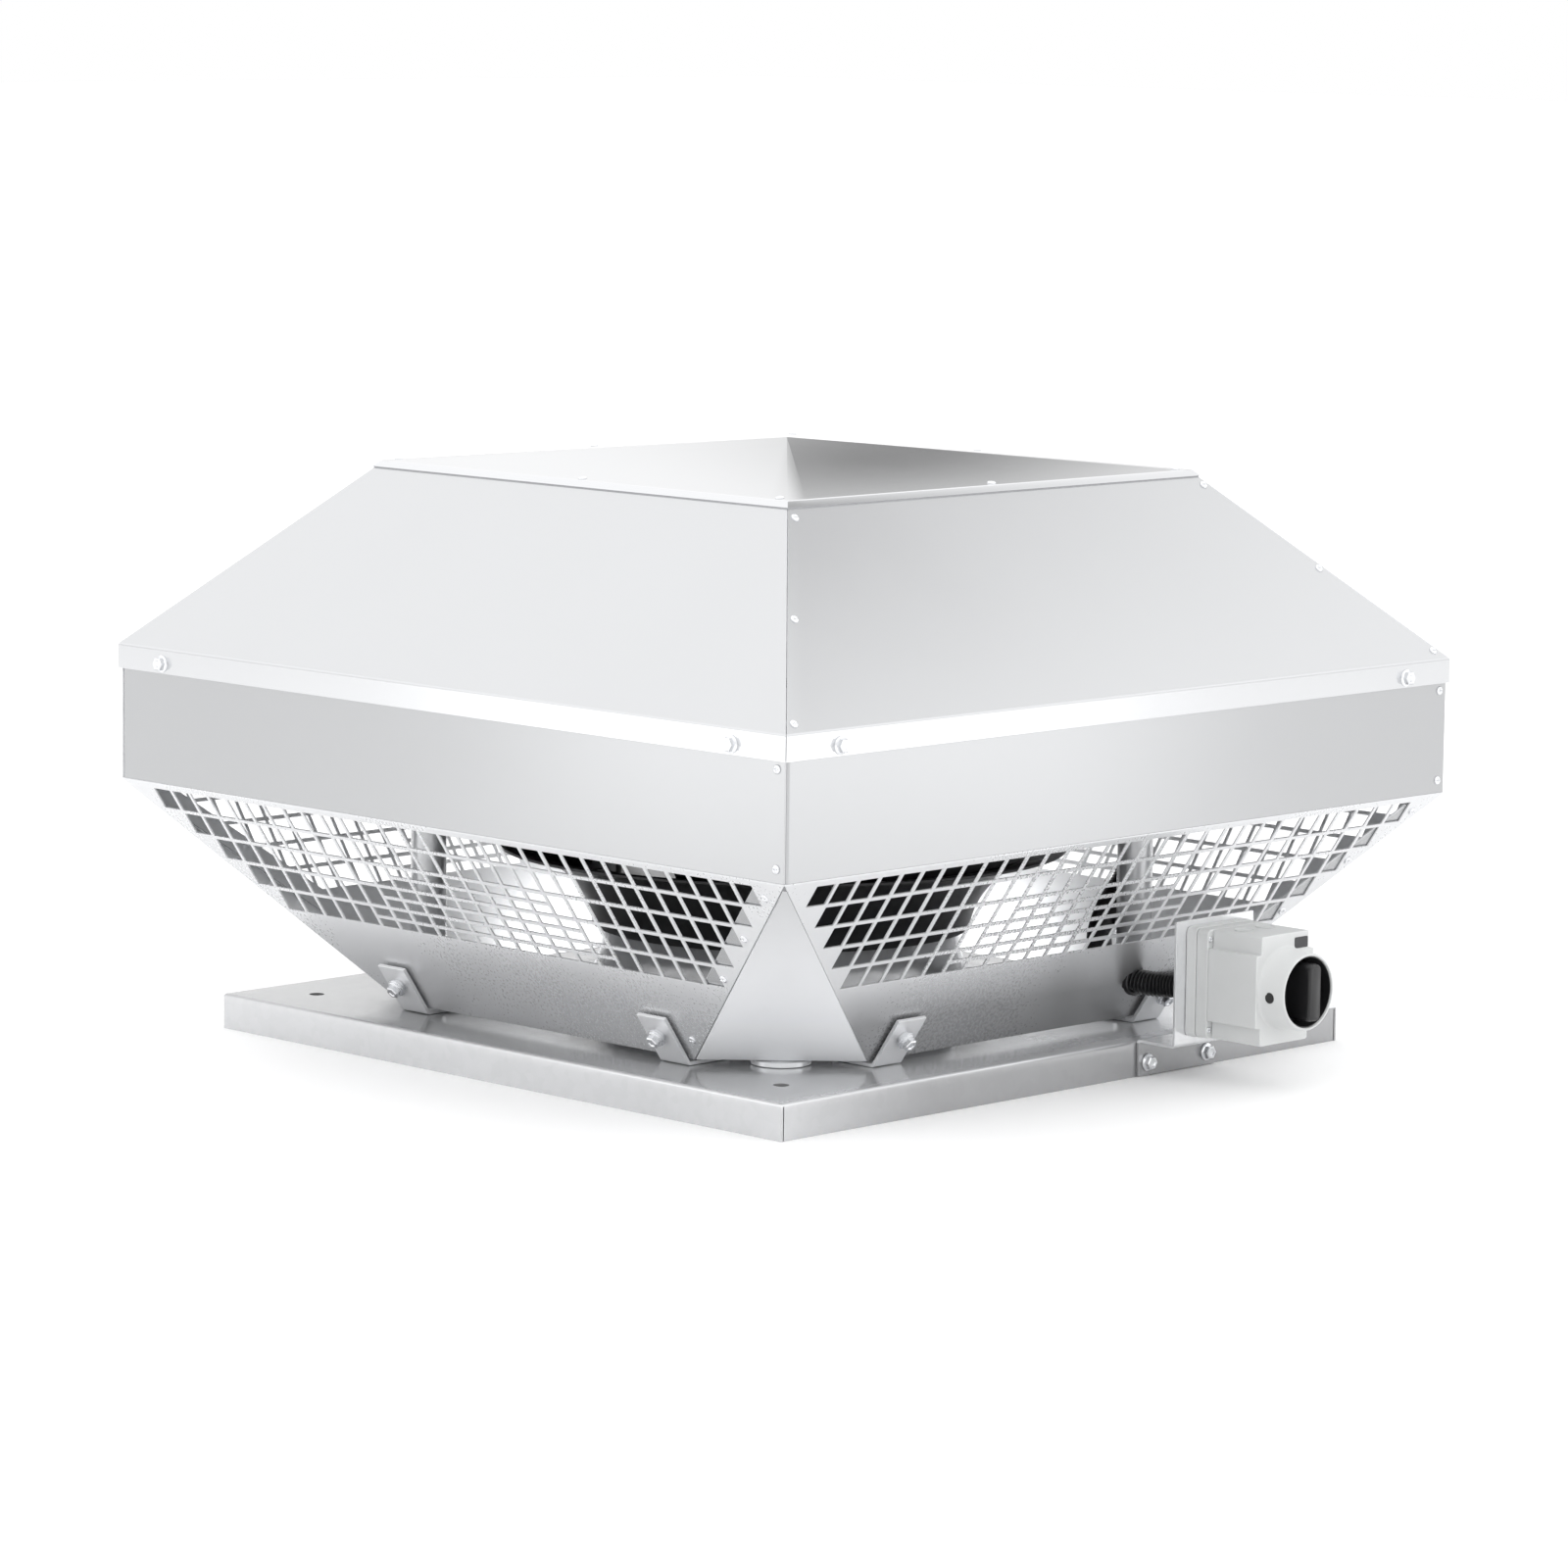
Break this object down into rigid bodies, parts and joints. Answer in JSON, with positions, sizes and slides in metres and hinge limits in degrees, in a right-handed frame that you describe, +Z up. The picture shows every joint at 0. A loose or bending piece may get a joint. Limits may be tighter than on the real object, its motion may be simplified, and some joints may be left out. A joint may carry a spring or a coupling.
{
  "type": "roof exhaust fan",
  "caption": "Square sheet-metal roof extract fan: hipped rain hood with punched side grilles over a backward-curved impeller, on a flanged tray with a side isolator switch.",
  "frame": {"origin": "the fan's axis on the underside plane of the base tray's folded rim", "axes": "+Z up along the fan axis, -Y towards the side that carries the isolator switch, +X to the right when that side is looked at"},
  "size_m": [0.7908, 0.8694, 0.5063],
  "materials": {
    "galvanised_sheet": "bright galvanised steel sheet, faint rolling haze",
    "hood_sheet": "smooth mill-finish aluminium sheet",
    "lug_strip": "mill-finish aluminium strip",
    "pillar_tube": "drawn tube, satin",
    "impeller_black": "black coated impeller, satin",
    "motor_casting": "dark grey painted casting",
    "bright_steel": "ground steel",
    "zinc_fastener": "bright zinc plating",
    "switch_grey": "light grey moulded enclosure, fine texture",
    "switch_black": "black moulding",
    "conduit_black": "black corrugated polyamide conduit"
  },
  "bodies": {
    "root": {"base_tray": "galvanised_sheet", "bracket_bolt_left": "zinc_fastener", "bracket_bolt_right": "zinc_fastener", "conduit": "conduit_black", "conduit_bush": "conduit_black", "conduit_gland": "conduit_black", "hood_belt_east": "hood_sheet", "hood_belt_north": "hood_sheet", "hood_belt_south": "hood_sheet", "hood_belt_west": "hood_sheet", "hood_grille_east": "hood_sheet", "hood_grille_north": "hood_sheet", "hood_grille_south": "hood_sheet", "hood_grille_west": "hood_sheet", "hood_gusset_northeast": "hood_sheet", "hood_gusset_northwest": "hood_sheet", "hood_gusset_southeast": "hood_sheet", "hood_gusset_southwest": "hood_sheet", "hood_lug_east_left": "lug_strip", "hood_lug_east_right": "lug_strip", "hood_lug_north_left": "lug_strip", "hood_lug_north_right": "lug_strip", "hood_lug_south_left": "lug_strip", "hood_lug_south_right": "lug_strip", "hood_lug_west_left": "lug_strip", "hood_lug_west_right": "lug_strip", "inlet_nozzle": "galvanised_sheet", "motor_bearing_lower": "bright_steel", "motor_bearing_upper": "bright_steel", "motor_plate": "galvanised_sheet", "motor_stator": "motor_casting", "pillar_far_left": "pillar_tube", "pillar_far_right": "pillar_tube", "pillar_near_left": "pillar_tube", "pillar_near_right": "pillar_tube", "roof_cap": "hood_sheet", "roof_slope_east": "hood_sheet", "roof_slope_north": "hood_sheet", "roof_slope_south": "hood_sheet", "roof_slope_west": "hood_sheet", "switch_base": "switch_grey", "switch_bracket": "galvanised_sheet", "switch_contact_block": "switch_black", "switch_lid": "switch_grey", "terminal_box": "motor_casting"},
    "impeller": {"impeller_back_plate": "impeller_black", "impeller_blade_1": "impeller_black", "impeller_blade_2": "impeller_black", "impeller_blade_3": "impeller_black", "impeller_blade_4": "impeller_black", "impeller_blade_5": "impeller_black", "impeller_blade_6": "impeller_black", "impeller_blade_7": "impeller_black", "impeller_shroud": "impeller_black", "motor_rotor": "motor_casting", "motor_shaft": "bright_steel"},
    "knob": {"switch_knob": "switch_black"}
  },
  "joints": [
    {"name": "impeller_spin", "type": "hinge", "parent": "root", "child": "impeller", "pos_m": [0, 0, 0.2], "axis": [0, 0, 1], "continuous": true},
    {"name": "switch_knob_turn", "type": "hinge", "parent": "root", "child": "knob", "pos_m": [0.1255, -0.455, 0.08325], "axis": [0, 1, 0], "range_deg": [0, 90]}
  ]
}
